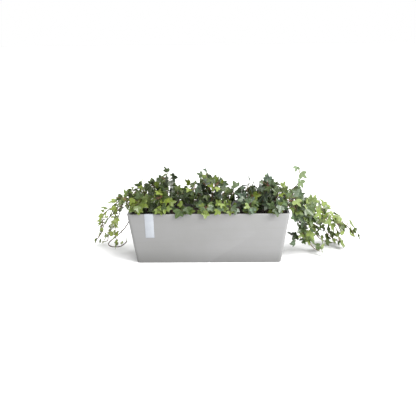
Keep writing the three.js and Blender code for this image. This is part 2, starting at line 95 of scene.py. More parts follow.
# %% [markdown]
# ## Words for shader maths
#
# A material is easier to read as a formula than as a list of nodes. The class below wraps one
# socket, so that + and * between two of them add a Math node. Colours have a method of their
# own, because a Math node would turn them grey.


# %% Formulas on sockets
class Wire:
    """A socket that can be used in formulas."""

    def __init__(self, finish, socket):
        self.finish, self.socket = finish, socket

    def math(self, operation, *values):
        inputs = dict(enumerate((self, *values)))
        return self.finish.add("Math", {"operation": operation}, inputs)

    def __add__(self, other):
        return self.math("ADD", other)

    def __sub__(self, other):
        return self.math("SUBTRACT", other)

    def __rsub__(self, other):
        return self.finish.add("Math", {"operation": "SUBTRACT"}, {0: other, 1: self})

    def __mul__(self, other):
        return self.math("MULTIPLY", other)

    __radd__, __rmul__ = __add__, __mul__

    def size(self):
        return self.math("ABSOLUTE")

    def ramp(self, low, high):
        """0 below low, 1 above high, and smooth in between. low may be above high."""
        settings = {"interpolation_type": "SMOOTHSTEP"}
        return self.finish.add("MapRange", settings, {0: self, 1: low, 2: high, 3: 0, 4: 1})


class Finish:
    """A material under construction, with the shader that its formulas feed."""

    def __init__(self, name, **values):
        self.material = bpy.data.materials.new(name)
        self.material.use_nodes = True
        self.tree = self.material.node_tree
        self.shader = self.tree.nodes["Principled BSDF"]
        for socket, value in values.items():
            self.shader.inputs[socket.replace("_", " ")].default_value = value

    def add(self, kind, settings=None, inputs=None, out=0):
        made = self.tree.nodes.new("ShaderNode" + kind)
        for name, value in (settings or {}).items():
            setattr(made, name, value)
        for socket, value in (inputs or {}).items():
            self.join(made.inputs[socket], value)
        return Wire(self, made.outputs[out])

    def join(self, socket, value):
        if isinstance(value, Wire):
            self.tree.links.new(value.socket, socket)
        else:
            socket.default_value = value

    def mix(self, share, low, high):
        """A colour between two colours."""
        inputs = {0: share, 6: low, 7: high}
        return self.add("Mix", {"data_type": "RGBA"}, inputs, out=2)

    def parts(self, vector):
        """The three numbers of a vector."""
        split = self.add("SeparateXYZ", None, {0: vector}).socket.node
        return [Wire(self, socket) for socket in split.outputs]

    def place(self):
        return self.add("TexCoord", out=3)

    def measures(self, name):
        """The three numbers that the mesh keeps under a name."""
        return self.parts(self.add("Attribute", {"attribute_name": name}, out=1))

    def noise(self, place, scale, detail=2, rough=0.5):
        inputs = {"Vector": place, "Scale": scale, "Detail": detail, "Roughness": rough}
        return self.add("TexNoise", None, inputs)

    def bump(self, height, depth, strength=1):
        inputs = {"Height": height, "Distance": depth, "Strength": strength}
        normal = self.add("Bump", None, inputs)
        self.join(self.shader.inputs["Normal"], normal)

    def feed(self, **values):
        for socket, value in values.items():
            self.join(self.shader.inputs[socket.replace("_", " ")], value)
        return self.material


print("formulas ready")

# %% [markdown]
# ## The planting rule
#
# The leafy stems were planted by a rule with a repeatable stream of numbers: each leaf tries a
# few places and keeps the first that is clear of everything planted before it. Running the same
# rule here gives every fine leaf the place of its solid, and leaves room to add young leaves that
# are clear of the rest too.


# %% Vectors and the repeatable stream
def dot(a, b):
    return a[0] * b[0] + a[1] * b[1] + a[2] * b[2]


def cross(a, b):
    x = a[1] * b[2] - a[2] * b[1]
    y = a[2] * b[0] - a[0] * b[2]
    z = a[0] * b[1] - a[1] * b[0]
    return np.array([x, y, z])


def unit(a):
    return a * (1 / math.sqrt(dot(a, a)))


def mix(a, b, t):
    return a * (1 - t) + b * t


def clamp(v):
    return min(1, max(0, v))


FACTOR, MODULUS = 16807, 2147483647


def stream(seed):
    """A repeatable stream of numbers from 0 to 1."""
    state = [seed]

    def draw():
        state[0] = state[0] * FACTOR % MODULUS
        return state[0] / MODULUS

    return draw


def between(draw, low, high):
    return low + (high - low) * draw()


def jitter(draw, size):
    return np.array([between(draw, -size, size) for _ in range(3)])


UP = np.array([0.0, 0.0, 1.0])
SEED, SEED_STEP = 561, 37
print("first draw:", round(stream(SEED)(), 5))

# %% [markdown]
# The plan says where each plant stands and how high it grows above the rim. A runner has its root
# on the soil and the places that it passes, the last being its tip. Those were picked to follow the
# real stems, with their number and depth guessed, and the rule moves each a little.

# %% The planting plan
PLANTS = [(-228, 4, 60), (-184, -4, 76), (-142, 4, 94), (-2, -3, 95), (136, 4, 66), (208, -4, 74)]
RING_STEMS, RING_RADIUS = 3, 13
RIGHT_RUNNERS = [
    ((236, -46), [(270, -46, 214), (314, -41, 202), (346, -32, 168), (358, -25, 124)]),
    ((246, -18), [
        (280, -8, 214), (338, 8, 192), (383, 20, 166), (421, 30, 140),
        (456, 44, 110), (472, 50, 80),
    ]),
    ((236, 62), [
        (276, 72, 214), (342, 82, 182), (400, 92, 144), (450, 98, 112),
        (498, 104, 82), (526, 106, 56), (540, 108, 30),
    ]),
    ((248, 40), [
        (284, 50, 210), (338, 62, 164), (381, 76, 112), (420, 88, 66),
        (452, 96, 34), (486, 100, 9),
    ]),
    ((218, 46), [
        (278, 62, 208), (330, 76, 134), (376, 88, 78), (408, 94, 32),
        (440, 98, 10), (474, 100, 8),
    ]),
    ((250, 8), [(286, 10, 208), (316, 14, 142), (340, 18, 78), (368, 18, 24), (398, 12, 9)]),
    ((228, -22), [
        (286, -26, 208), (314, -26, 184), (330, -24, 146), (334, -20, 108),
        (328, -18, 78), (308, -20, 70), (294, -22, 74),
    ]),
    ((252, -56), [(280, -58, 208), (302, -58, 184), (312, -52, 150)]),
    ((232, 24), [
        (286, 32, 207), (344, 36, 176), (400, 46, 140), (440, 54, 100),
        (466, 60, 66), (474, 62, 30),
    ]),
]
LEFT_RUNNERS = [
    ((-246, 30), [
        (-286, 34, 207), (-318, 36, 192), (-348, 36, 172), (-372, 38, 150),
        (-384, 42, 122), (-388, 50, 92),
    ]),
    ((-238, -10), [
        (-286, -6, 208), (-314, 0, 180), (-329, 4, 156), (-334, 8, 119),
        (-335, 10, 81), (-334, 14, 44),
    ]),
    ((-250, 56), [
        (-290, 68, 206), (-346, 80, 144), (-382, 90, 100), (-402, 98, 56), (-420, 104, 26),
    ]),
    ((-236, 66), [
        (-290, 84, 206), (-343, 100, 108), (-374, 112, 46), (-392, 120, 14), (-412, 126, 8),
    ]),
]
LEFT_BARE_RUNNER = ((-222, 50), [
    (-262, 98, 208), (-284, 110, 150), (-304, 104, 90), (-330, 94, 56),
    (-358, 84, 36), (-376, 74, 20), (-366, 66, 12), (-346, 62, 9),
    (-324, 66, 12), (-308, 78, 24),
])
LEFT_SPRAYS = [
    ((-252, -34), [(-278, -37, 220), (-300, -42, 228)]),
    ((-254, 2), [(-286, 4, 210), (-308, 6, 182)]),
]
SPRIG = ((254, 24), [(285, 22, 226), (304, 16, 254), (318, 10, 288), (310, 8, 320)])
FRONT_SPRAYS = [-243, -155, -77, -9, 40, 78, 142, 234]
BACK_SPRAYS = [-168, -104, -44, 52, 164]
print("plants:", len(PLANTS), "runners:", len(RIGHT_RUNNERS) + len(LEFT_RUNNERS))


# %% A stem's line
def neighbours(points, i):
    """The two ends of the span that ends at point i, and the points before and after them."""
    return points[max(i - 2, 0)], points[i - 1], points[i], points[min(i + 1, len(points) - 1)]


def stem_points(root, route, per_span):
    """Straight down into the soil first, then a smooth curve through the route."""
    ways = [np.array(p, float) for p in ((*root, SOIL_TOP + 8), *route)]
    points = [np.array((*root, SOIL_TOP - ROOT_DEPTH), float), ways[0]]
    for i in range(1, len(ways)):
        ends = neighbours(ways, i)
        for k in range(1, per_span + 1):
            t = k / per_span
            t2, t3 = t * t, t * t * t
            weights = [-t3 + 2 * t2 - t, 3 * t3 - 5 * t2 + 2, -3 * t3 + 4 * t2 + t, t3 - t2]
            scaled = [p * (w / 2) for p, w in zip(ends, weights)]
            points.append(((scaled[0] + scaled[1]) + scaled[2]) + scaled[3])
    return points


def mound_stem(plant, ring, draw):
    """The middle stem of a plant stands up, and those round it arch out and over."""
    x, y, height = plant
    turn = ((ring - 1 + between(draw, -0.25, 0.25)) / RING_STEMS + x / 90) * 2 * math.pi
    if ring:
        out = (math.cos(turn), math.sin(turn))
        lift = between(draw, 0.35, 0.95)
        far = (between(draw, 44, 60), 88 - 44 * lift)
    else:
        out = (between(draw, -0.3, 0.3), between(draw, -0.3, 0.3))
        lift, far = 1, (16, 16)
    top = HEIGHT + height * lift

    def place(share, z):
        return (x + out[0] * far[0] * share, y + out[1] * far[1] * share, z)

    root = (x + out[0] * RING_RADIUS, y + out[1] * RING_RADIUS)
    waist = place(0.42, SOIL_TOP + 0.6 * (top - SOIL_TOP))
    return stem_points(root, [waist, place(0.78, top), place(1, top - 8 if ring else top + 6)], 1)


print("points of the first runner:", len(stem_points(*RIGHT_RUNNERS[0], 2)))

# %% [markdown]
# Whether two planted things meet is a question about their edges and triangles. Asking it for one
# pair at a time would be slow, so everything near a new leaf is tested at once, as arrays.


# %% Things that are planted
class Thing:
    """Something planted: its points, edges and triangles, with half of its thickness."""

    def __init__(self, points, edges, faces, half):
        self.points = np.array(points, float)
        self.edges = np.array(edges, float).reshape(-1, 2, 3)
        self.faces = np.array(faces, float).reshape(-1, 3, 3)
        self.half, self.stem = half, None
        self.centre = self.points.mean(0)
        self.reach = np.sqrt(((self.points - self.centre) ** 2).sum(1)).max()


def twig(a, b, half):
    return Thing([a, b], [[a, b]], [], half)


print("a stem is", 2 * STEM_RADIUS, "mm thick")

# %% Keeping clear
TINY = 1e-9  # what counts as parallel


def dots(a, b):
    return (a * b).sum(-1)


def sides_of(faces):
    """One corner of each triangle, and its two sides from there."""
    a = faces[:, 0][None]
    return a, faces[:, 1][None] - a, faces[:, 2][None] - a


def edges_meet(one, other, need):
    """Whether any edge of one comes closer than need to any edge of the other."""
    d1 = (one[:, 1] - one[:, 0])[:, None]
    d2 = (other[:, 1] - other[:, 0])[None]
    r = one[:, None, 0] - other[None, :, 0]
    a, e, f, c, b = dots(d1, d1), dots(d2, d2), dots(d2, r), dots(d1, r), dots(d1, d2)
    spread = a * e - b * b
    skew = spread > TINY
    u = np.where(skew, np.clip((b * f - c * e) / np.where(skew, spread, 1), 0, 1), 0)
    v = (b * u + f) / e
    past = np.where(v > 1, np.clip((b - c) / a, 0, 1), u)
    u = np.where(v < 0, np.clip(-c / a, 0, 1), past)
    v = np.clip(v, 0, 1)
    apart = r + d1 * u[..., None] - d2 * v[..., None]
    return bool((np.sqrt(dots(apart, apart)) < need[None]).any())


def points_touch(points, faces, need):
    """Whether any point lies over any triangle, closer than need."""
    a, ab, ac = sides_of(faces)
    ap = points[:, None] - a
    normal = np.cross(ab, ac)
    area = dots(normal, normal)
    v = dots(np.cross(ap, ac), normal) / area
    w = dots(np.cross(ab, ap), normal) / area
    near = np.abs(dots(ap, normal)) / np.sqrt(area) < need
    return bool(((v >= 0) & (w >= 0) & (v + w <= 1) & near).any())


def edges_pierce(edges, faces):
    """Whether any edge goes through any triangle."""
    a, ab, ac = sides_of(faces)
    pq = (edges[:, 1] - edges[:, 0])[:, None]
    ap = edges[:, None, 0] - a
    h = np.cross(pq, ac)
    det = dots(ab, h)
    flat = np.abs(det) < TINY
    safe = np.where(flat, 1, det)
    g = np.cross(ap, ab)
    u, v, t = dots(ap, h) / safe, dots(pq, g) / safe, dots(ac, g) / safe
    inside = (u >= 0) & (v >= 0) & (u + v <= 1) & (t >= 0) & (t <= 1)
    return bool((inside & ~flat).any())


print("edges closer to parallel than", TINY, "are taken as parallel")

# %% The garden
MOST_THINGS = 6000


class Garden:
    """Everything planted so far."""

    def __init__(self):
        self.things, self.rows = [], np.zeros((MOST_THINGS, 5))

    def plant(self, thing, stem):
        thing.stem = stem
        self.rows[len(self.things)] = (*thing.centre, thing.reach, thing.half)
        self.things.append(thing)

    def meets(self, thing, gap, but=None):
        rows = self.rows[: len(self.things)]
        apart = ((rows[:, :3] - thing.centre) ** 2).sum(1)
        close = apart <= (rows[:, 3] + thing.reach + rows[:, 4] + thing.half + gap) ** 2
        near = [self.things[i] for i in np.flatnonzero(close)]
        near = [t for t in near if but is None or t.stem is not but]
        if not near:
            return False

        def gather(kind):
            return np.concatenate([getattr(t, kind) for t in near])

        def needs(kind):
            rooms = [(len(getattr(t, kind)), t.half + thing.half + gap) for t in near]
            return np.concatenate([np.full(*room) for room in rooms])

        edges, faces, points = gather("edges"), gather("faces"), gather("points")
        if edges_meet(thing.edges, edges, needs("edges")):
            return True
        if len(faces):
            if points_touch(thing.points, faces, needs("faces")):
                return True
            if edges_pierce(thing.edges, faces):
                return True
        if len(thing.faces) == 0:
            return False
        need = needs("points")[:, None]
        return points_touch(points, thing.faces, need) or edges_pierce(edges, thing.faces)


ROOM = 2.4  # between a leaf and the tub
SAMPLES = 10  # places looked at along each edge


def free_of_box(edges):
    """Whether all the edges keep clear of the tub, the soil and the ground."""
    t = np.arange(SAMPLES + 1)[None, :, None] / SAMPLES
    edges = np.array(edges, float)
    places = (edges[:, None, 0] * (1 - t) + edges[:, None, 1] * t).reshape(-1, 3)
    x, y, z = np.abs(places[:, 0]), np.abs(places[:, 1]), places[:, 2]
    inset = LEAN * (HEIGHT - z)
    ex, ey = x - RIM_LENGTH / 2 + inset, y - RIM_WIDTH / 2 + inset
    inside = (ex < -WALL - ROOM) & (ey < -WALL - ROOM) & (z > SOIL_TOP + ROOM)
    free = (z > HEIGHT + ROOM) | (ex > ROOM) | (ey > ROOM) | inside
    return bool((free & (z >= ROOM)).all())


print("a leaf keeps", ROOM, "mm from the tub")

# %% [markdown]
# An ivy leaf has three or five lobes. Half of its outline is enough to describe it: along the
# midrib and across it, in shares of the leaf's length. Its blade is folded up from the midrib and
# droops towards its edge.


# %% One leaf as the rule sees it
FIVE_LOBES_FROM = 37


def half_outline(length, cut):
    """A small leaf has three lobes and a larger one five. cut is how deep the bays are."""
    side, bay = (0.44, 0.61), (0.48, 0.32 - 0.14 * cut)
    if length < FIVE_LOBES_FROM:
        return [(0.02, 0.38), side, bay]
    return [(-0.15, 0.42), (0.12, 0.37 - 0.14 * cut), side, bay]


def blade_point(leaf, u, v, lift=0.0):
    w = (leaf["fold"] * abs(v) - leaf["droop"] * (u * u + 0.8 * v * v)) * leaf["length"]
    flat = leaf["along"] * (u * leaf["length"]) + leaf["across"] * (v * leaf["length"])
    return (leaf["base"] + flat) + leaf["normal"] * (w + lift)


def blade_thing(leaf):
    half = half_outline(leaf["length"], leaf["cut"])
    root = PETIOLE_HALF_WIDTH / leaf["length"]
    right = [blade_point(leaf, u, -v) for u, v in half]
    left = [blade_point(leaf, u, v) for u, v in reversed(half)]
    ends = blade_point(leaf, 0, -root), blade_point(leaf, 1, 0), blade_point(leaf, 0, root)
    rim = [ends[0], *right, ends[1], *left, ends[2]]
    n, last = len(half), len(rim) - 1
    faces = [(0, n + 1, last)]
    for i in range(1, n + 1):
        faces += [(0, i, i + 1), (last, i + n, i + n + 1)]
    edges = [(p, rim[(i + 1) % len(rim)]) for i, p in enumerate(rim)]
    for a, b, c in faces:
        edges += [(rim[a], rim[c]), (rim[b], rim[a])]
    return Thing(rim, edges, [[rim[i] for i in f] for f in faces], BLADE_HALF)


print("a leaf of", FIVE_LOBES_FROM, "mm or more has five lobes")

# %% [markdown]
# Each kind of stem has its own habit: leaf lengths, how many leaves and how far apart, petiole
# lengths, how much a leaf's facing is scattered, how far it turns round its stem, how far up it
# looks, how much it hangs, and how wide it is for its length.

# %% The kinds of stem
Kind = namedtuple("Kind", "sizes leaves step petioles spread sway light drop slim")
KINDS = {
    "mound": Kind((29, 43), 6, 15, (10, 30), 0.75, 18, 0.7, 0.5, 1),
    "spray": Kind((27, 42), 4, 11, (8, 24), 0.55, 18, 0.45, 1.0, 1),
    "runner": Kind((33, 49), 8, 27, (8, 22), 0.7, 70, 0.7, 0.4, 1),
    "tendril": Kind((26, 38), 6, 27, (5, 12), 0.8, 40, 0.7, 0.9, 0.68),
    "bare": Kind((18, 27), 3, 22, (6, 12), 0.8, 50, 0.7, 0.5, 0.75),
    "sprig": Kind((30, 38), 4, 25, (3, 6), 0.5, 16, 0.4, 0.8, 1),
}
LEAF_GAP, TRIES = 0.7, 14
print("kinds of stem:", ", ".join(KINDS))


# %% One try at a leaf
def from_tip(points, distance):
    """The point of a stem at a distance from its tip, and the way the stem grows there."""
    for i in range(len(points) - 1, 0, -1):
        step = points[i] - points[i - 1]
        length = math.sqrt(dot(step, step))
        way = step * (1 / length)
        if distance <= length:
            return points[i] - way * distance, way
        distance -= length
    return points[0], UP


def try_leaf(stem, count, draw, kind, distance=None):
    """A leaf that faces away from the plant's heart and up. Its tip hangs out and down."""
    if distance is None:
        distance = 3 + (count + (between(draw, -0.3, 0.3) if count else 0)) * kind.step
    start, ahead = from_tip(stem["points"], distance)
    turn = 2.4 * count + stem["turn"]
    away = np.array([start[0] - stem["heart"][0], start[1] - stem["heart"][1], 0])
    outward = unit(away + np.array([kind.sway * math.cos(turn), kind.sway * math.sin(turn), 0]))
    face = unit(outward + UP * kind.light)
    normal = unit(face + jitter(draw, kind.spread))
    side = unit(cross(ahead, face)) * (1 if count % 2 else -1)
    sideways = between(draw, 0.3, 1) if count else between(draw, -0.3, 0.3)
    lead = (side * sideways + face * 0.5) + ahead * (0.35 if count else 1.2)
    petiole = unit(lead + jitter(draw, 0.45))
    base = start + petiole * between(draw, *kind.petioles)
    hang = (petiole * 0.8 + face * 0.5) + np.array([0, 0, -kind.drop])
    wish = hang + jitter(draw, 0.6)
    along = unit(wish - normal * dot(wish, normal))
    young = clamp(1 - count / 3)
    length = between(draw, *kind.sizes) * (1 - 0.3 * young)
    cut, fold, droop = draw(), between(draw, 0.06, 0.34), between(draw, 0.05, 0.3)
    across = cross(normal, along) * kind.slim
    leaf = {"start": start, "base": base, "along": along, "across": across, "normal": normal}
    return {**leaf, "length": length, "cut": cut, "fold": fold, "droop": droop, "young": young}


def fit_leaf(leaf, stem, garden):
    """The leaf's blade and petiole as things, or None where they would meet something."""
    stalkway = unit(leaf["base"] - leaf["start"])
    if dot(stalkway, leaf["along"]) < -0.2 or abs(dot(stalkway, leaf["across"])) > 0.75:
        return None
    flat = blade_thing(leaf)
    stalk = twig(leaf["start"], leaf["base"], PETIOLE_HALF_WIDTH)
    if not free_of_box(flat.edges) or not free_of_box(stalk.edges):
        return None
    if garden.meets(flat, LEAF_GAP) or garden.meets(stalk, LEAF_GAP, but=stem):
        return None
    return flat, stalk


print("a leaf keeps", LEAF_GAP, "mm from the others")

# %% Plant every stem
stems, garden = [], Garden()
ROUND = 6.28  # a full turn, rounded as the rule has it


def plant_stem(name, kind, heart, route):
    """Tries a few lines for a stem, and keeps the first that is clear."""
    draw = stream(SEED + SEED_STEP * (len(stems) + 1))
    for _ in range(TRIES):
        points = route(draw)
        twigs = [twig(points[i], points[i + 1], STEM_RADIUS) for i in range(len(points) - 1)]
        if not free_of_box([t.edges[0] for t in twigs[1:]]):
            continue
        if any(garden.meets(t, LEAF_GAP) for t in twigs):
            continue
        stem = {"name": name, "kind": kind, "heart": heart, "points": points, "draw": draw}
        stem.update(turn=ROUND * draw(), leaves=[])
        for t in twigs:
            garden.plant(t, name)
        stems.append(stem)
        return


def wander(draw, route):
    """The route with each place moved a few millimetres, and never down."""
    moved = []
    for x, y, z in route:
        x, y = x + between(draw, -4, 4), y + between(draw, -4, 4)
        moved.append((x, y, z + between(draw, 0, 3)))
    return moved


def plant_along(name, kind, heart, root, route):
    plant_stem(name, kind, heart, lambda draw: stem_points(root, wander(draw, route), 2))


for side, kind, runners in (("right", "runner", RIGHT_RUNNERS), ("left", "tendril", LEFT_RUNNERS)):
    for i, (root, route) in enumerate(runners):
        plant_along(f"ivy_{side}_runner_{i + 1}", kind, (root[0] * 0.9, 110), root, route)
plant_along("ivy_left_bare_runner", "bare", (-200, 110), *LEFT_BARE_RUNNER)
plant_along("ivy_right_upright_sprig", "sprig", (300, 60), *SPRIG)
for i, (root, route) in enumerate(LEFT_SPRAYS):
    plant_along(f"ivy_left_spray_{i + 1}", "spray", (root[0] + 40, root[1]), root, route)
for side, away, xs in (("front", -1, FRONT_SPRAYS), ("back", 1, BACK_SPRAYS)):
    for i, x in enumerate(xs):
        route = [(x, 68 * away, SOIL_TOP + 32), (x, 82 * away, HEIGHT + 21)]
        plant_along(f"ivy_{side}_spray_{i + 1}", "spray", (x, 20 * away), (x, 60 * away), route)
for i, plant in enumerate(PLANTS):
    heart = (plant[0] * 0.97, plant[1] * 0.4)
    for ring in range(RING_STEMS + 1):
        curve = lambda draw: mound_stem(plant, ring, draw)
        plant_stem(f"ivy_plant_{i + 1}_stem_{ring + 1}", "mound", heart, curve)
print("stems:", len(stems))

# %% [markdown]
# The leaves at the tips come first on every stem, because they show most. Those further in fill
# the room that is left.


# %% Plant the large leaves
def settle(stem, leaf, fitted):
    for thing in fitted:
        garden.plant(thing, stem["name"])
    stem["leaves"].append(leaf)


for count in range(max(kind.leaves for kind in KINDS.values())):
    for stem in stems:
        kind = KINDS[stem["kind"]]
        if count >= kind.leaves:
            continue
        for _ in range(TRIES):
            leaf = try_leaf(stem, count, stem["draw"], kind)
            fitted = fit_leaf(leaf, stem["name"], garden)
            if fitted is None:
                continue
            settle(stem, leaf, fitted)
            break
print("stems:", len(stems), "large leaves:", sum(len(s["leaves"]) for s in stems))

# %% [markdown]
# Before going on, the plan is compared with the solids. Each leafy stem should fill the same box
# as its solid does, but for the thickness of its stem and blades, which the plan leaves out.

# %% Compare the plan with the solids
worst = 0
for stem in stems:
    low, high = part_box(stem["name"])
    rims = [blade_thing(leaf).points for leaf in stem["leaves"]]
    places = np.concatenate([*rims, np.array(stem["points"])]) * MM
    for reached, expected in ((places.min(0), low), (places.max(0), high)):
        worst = max(worst, np.abs(reached - np.array(expected)).max())
print("largest difference from the solids:", round(worst / MM, 2), "mm")

# %% [markdown]
# Young leaves fill the gaps between the large ones. They are placed by the same rule, all along
# the stems, so they are clear of everything as well. They also keep inside the room that the
# solids take up, so the planted box stays as large as it was.

# %% Add the young leaves
YOUNG = {
    "mound": Kind((16, 30), 30, 0, (6, 28), 1.0, 18, 0.7, 0.5, 1),
    "spray": Kind((16, 28), 16, 0, (6, 22), 0.7, 18, 0.55, 0.8, 1),
    "runner": Kind((16, 28), 22, 0, (5, 20), 0.8, 70, 0.7, 0.4, 1),
    "tendril": Kind((13, 24), 16, 0, (3, 9), 0.8, 40, 0.7, 0.9, 0.68),
    "bare": Kind((10, 18), 6, 0, (4, 9), 0.9, 50, 0.7, 0.5, 0.75),
    "sprig": Kind((14, 22), 5, 0, (2, 5), 0.6, 16, 0.4, 0.8, 1),
}
YOUNG_TRIES = 10
YOUNG_REACH = 0.92  # how far back from the tip they grow, as a share of the stem
LOW, HIGH = np.array(cad_low) / MM + 1, np.array(cad_high) / MM - 1


def inside_solids(blade):
    """Whether a blade keeps inside the room that the solids take up."""
    points = np.array(blade.points)
    return bool((points > LOW).all() and (points < HIGH).all())


for stem in stems:
    kind, draw = YOUNG[stem["kind"]], stem["draw"]
    points = stem["points"]
    total = sum(math.dist(points[i], points[i + 1]) for i in range(1, len(points) - 1))
    for count in range(1, kind.leaves + 1):
        for _ in range(YOUNG_TRIES):
            distance = between(draw, 2, YOUNG_REACH * total)
            leaf = try_leaf(stem, count, draw, kind, distance)
            fitted = fit_leaf(leaf, stem["name"], garden)
            if fitted is None or not inside_solids(fitted[0]):
                continue
            settle(stem, leaf, fitted)
            leaf["young"] = 0.3 + 0.5 * draw()
            break
print("leaves in all:", sum(len(s["leaves"]) for s in stems))

# %% [markdown]
# ## From a bmesh to a piece
#
# Every piece ends the same way: its mesh goes from millimetres to metres, its faces are turned
# outwards, and the solids that it stands for are hidden.


# %% Finish a piece
def make_piece(name, bm, materials, slot, *nodes):
    bmesh.ops.recalc_face_normals(bm, faces=bm.faces)
    bmesh.ops.scale(bm, vec=(MM, MM, MM), verts=bm.verts)
    mesh = bpy.data.meshes.new(name)
    bm.to_mesh(mesh)
    bm.free()
    for material in materials:
        mesh.materials.append(material)
    piece = bpy.data.objects.new(name, mesh)
    bpy.context.scene.collection.objects.link(piece)
    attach(piece, "root")
    if nodes:
        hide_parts(*nodes)
    return piece


def soften(bm, crease=math.pi):
    """Smooth faces, but a sharp edge wherever two of them meet at more than crease."""
    for face in bm.faces:
        face.smooth = True
    for edge in bm.edges:
        if edge.is_manifold and edge.calc_face_angle(0) > crease:
            edge.smooth = False


def paint(red, green, blue):
    """A colour as it is seen on a screen, from 0 to 255, made linear for the shader."""
    shares = [c / 255 for c in (red, green, blue)]
    linear = [c / 12.92 if c <= 0.04045 else ((c + 0.055) / 1.055) ** 2.4 for c in shares]
    return (*linear, 1)


print("mid grey is", round(paint(128, 128, 128)[0], 3))

# %% [markdown]
# ## The finish of an ivy leaf
#
# An old ivy leaf is dark, leathery and a little glossy, with pale veins that run from the petiole
# to the tip of each lobe, and grey-green clouds between them: partly the leaf's marbling and partly
# a painted reflection of its gloss. A young one is thin and yellow green. The underside is paler
# and dull.
#
# Each blade carries its own measures. "leaf" says how far along and across the leaf a place is, and
# is 1 on the underside. The veins are drawn from it, so they always end in the lobes. "look" says
# how young the leaf is, with painted shade deep in a mound, and how much of the grey-green clouding
# it has, partly marbling and partly painted reflection.


# %% Leaf finish
def leaf_finish(name, old, grown, young):
    finish = Finish(name, Specular_IOR_Level=0.15, Coat_Weight=0.35, Coat_Roughness=0.14)
    u, v, under = finish.measures("leaf")
    tone, grey_marbling_and_painted_sheen, _ = finish.measures("look")
    place, side = finish.place(), v.size()

    def vein(along, across, width):
        """1 on a line that leaves the petiole in one direction, on both halves of the leaf."""
        apart = (u * across - side * along).size()
        ahead = (u * along + side * across).ramp(0, 0.05)
        return apart.ramp(width, width * 0.25) * ahead

    veins = vein(1, 0, 0.022)
    veins = veins.math("MAXIMUM", vein(0.574, 0.819, 0.018))
    veins = veins.math("MAXIMUM", vein(-0.31, 0.951, 0.014) * 0.8)
    branches = ((u - side * 0.75) * 8).math("PINGPONG", 0.5).ramp(0.07, 0.01)
    veins = veins.math("MAXIMUM", branches * 0.3)

    colour = finish.mix(tone.ramp(0, 0.5), old, grown)
    colour = finish.mix(tone.ramp(0.5, 1), colour, young)
    # The grey-green clouds are partly the leaf's marbling and partly a painted reflection of its
    # gloss.
    clouds = finish.noise(place, 95, 3).ramp(0.42, 0.6) * 0.7 + 0.3
    colour = finish.mix(clouds * grey_marbling_and_painted_sheen, colour, paint(112, 134, 114))
    spots = finish.noise(place, 420, 2).ramp(0.35, 0.7)
    colour = finish.mix(spots * 0.16, colour, paint(26, 40, 20))
    colour = finish.mix(veins * 0.55, colour, paint(122, 138, 98))
    colour = finish.mix(under * 0.6, colour, paint(86, 100, 64))
    rough = finish.noise(place, 160) * 0.2 + under * 0.25 + 0.34
    finish.bump(finish.noise(place, 75, 2) - veins * 0.35, 0.0026, 0.8)
    return finish.feed(Base_Color=colour, Roughness=rough)


# For each kind of stem: its leaf's finish, and the paint of an old, a grown and a young leaf.
PAINTS = {
    "mound": ("dark_ivy_leaf", (6, 12, 3), (42, 55, 10), (100, 114, 36)),
    "spray": ("mid_ivy_leaf", (12, 22, 6), (48, 64, 17), (94, 109, 42)),
    "runner": ("trailing_ivy_leaf", (12, 21, 8), (47, 62, 22), (101, 115, 54)),
    "tendril": ("young_ivy_leaf", (64, 78, 30), (96, 111, 42), (124, 138, 62)),
    "bare": ("sparse_ivy_leaf", (64, 78, 30), (96, 111, 42), (124, 138, 62)),
    "sprig": ("pale_ivy_leaf", (78, 92, 58), (102, 116, 80), (134, 146, 112)),
}
LEAVES = {}
for kind, (name, *colours) in PAINTS.items():
    LEAVES[kind] = leaf_finish(name, *[paint(*colour) for colour in colours])
SLOTS = {
    "mound": "ivy_dark_green",
    "spray": "ivy_mid_green",
    "runner": "ivy_mid_green",
    "tendril": "ivy_young_green",
    "bare": "ivy_young_green",
    "sprig": "ivy_pale_green",
}
print("leaf finishes:", len(LEAVES))

# %% [markdown]
# ## The finish of a stem
#
# Ivy stems are red brown and woody near the root, and greener and redder towards the tip, as
# the leaf stalks are. The first number of "look" says how near the tip a place is. A fine bump
# roughens the bark.

# %% Stem finish
stalks = Finish("red_brown_stem", Roughness=0.6)
reach, _, _ = stalks.measures("look")
patches = stalks.noise(stalks.place(), 70, 3)
wood = stalks.mix(patches.ramp(0.35, 0.65), paint(56, 36, 26), paint(82, 60, 44))
fresh = stalks.mix(patches.ramp(0.4, 0.6), paint(104, 62, 46), paint(90, 92, 52))
stalks.bump(stalks.noise(stalks.place(), 600, 2), 0.0004, 0.6)
STALKS = stalks.feed(Base_Color=stalks.mix(reach.ramp(0.2, 0.7), wood, fresh))
print("stem finish:", STALKS.name)

# %% [markdown]
# ## Growing a leaf
#
# A leaf blade is thin and folded along its midrib. It could be cut from a picture of a leaf, but
# then it has no edge. Here half of it is laid out as a fan of faces on a flat sheet and mirrored
# at the midrib. The faces are subdivided once and the sides of each lobe are rounded. Then the
# sheet is bent into place with the rule's own formula, and given a thickness. A leaf is repeated
# hundreds of times, so its blade stays below a hundred faces.


# %% A flat leaf
LOBE_ROUNDING = 0.09  # how far the middle of a side moves out, as a share of the side's length


def spot(p):
    return tuple(round(c, 4) for c in p.co)


